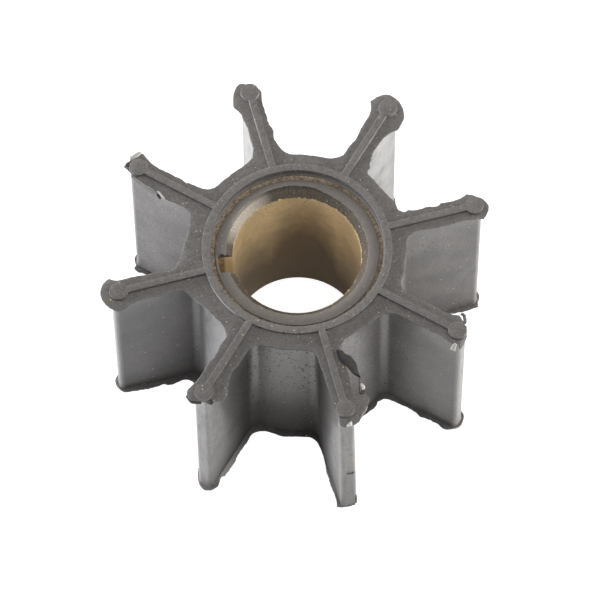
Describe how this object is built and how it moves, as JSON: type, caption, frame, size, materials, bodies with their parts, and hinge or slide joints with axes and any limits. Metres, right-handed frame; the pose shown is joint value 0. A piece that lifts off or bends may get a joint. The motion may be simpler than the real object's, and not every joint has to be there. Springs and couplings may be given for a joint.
{
  "type": "rubber pump impeller",
  "caption": "Moulded rubber star of straight radial vanes round a keyed brass bush, with beaded end faces, for a raw-water pump.",
  "frame": {"origin": "on the bore's axis, in the plane of the lower beads on which the impeller lies", "axes": "+Z along the bore's axis, from the lower end to the upper end; +Y along one vane; +X along the vane two places clockwise from it, seen from above; the keyway is near -X"},
  "size_m": [0.0591, 0.0589, 0.031],
  "materials": {
    "rubber": "matte",
    "brass": "satin"
  },
  "bodies": {
    "root": {"rubber_body": "rubber", "hub_bush": "brass", "upper_end_film": "rubber", "lower_end_film": "rubber"}
  },
  "joints": []
}
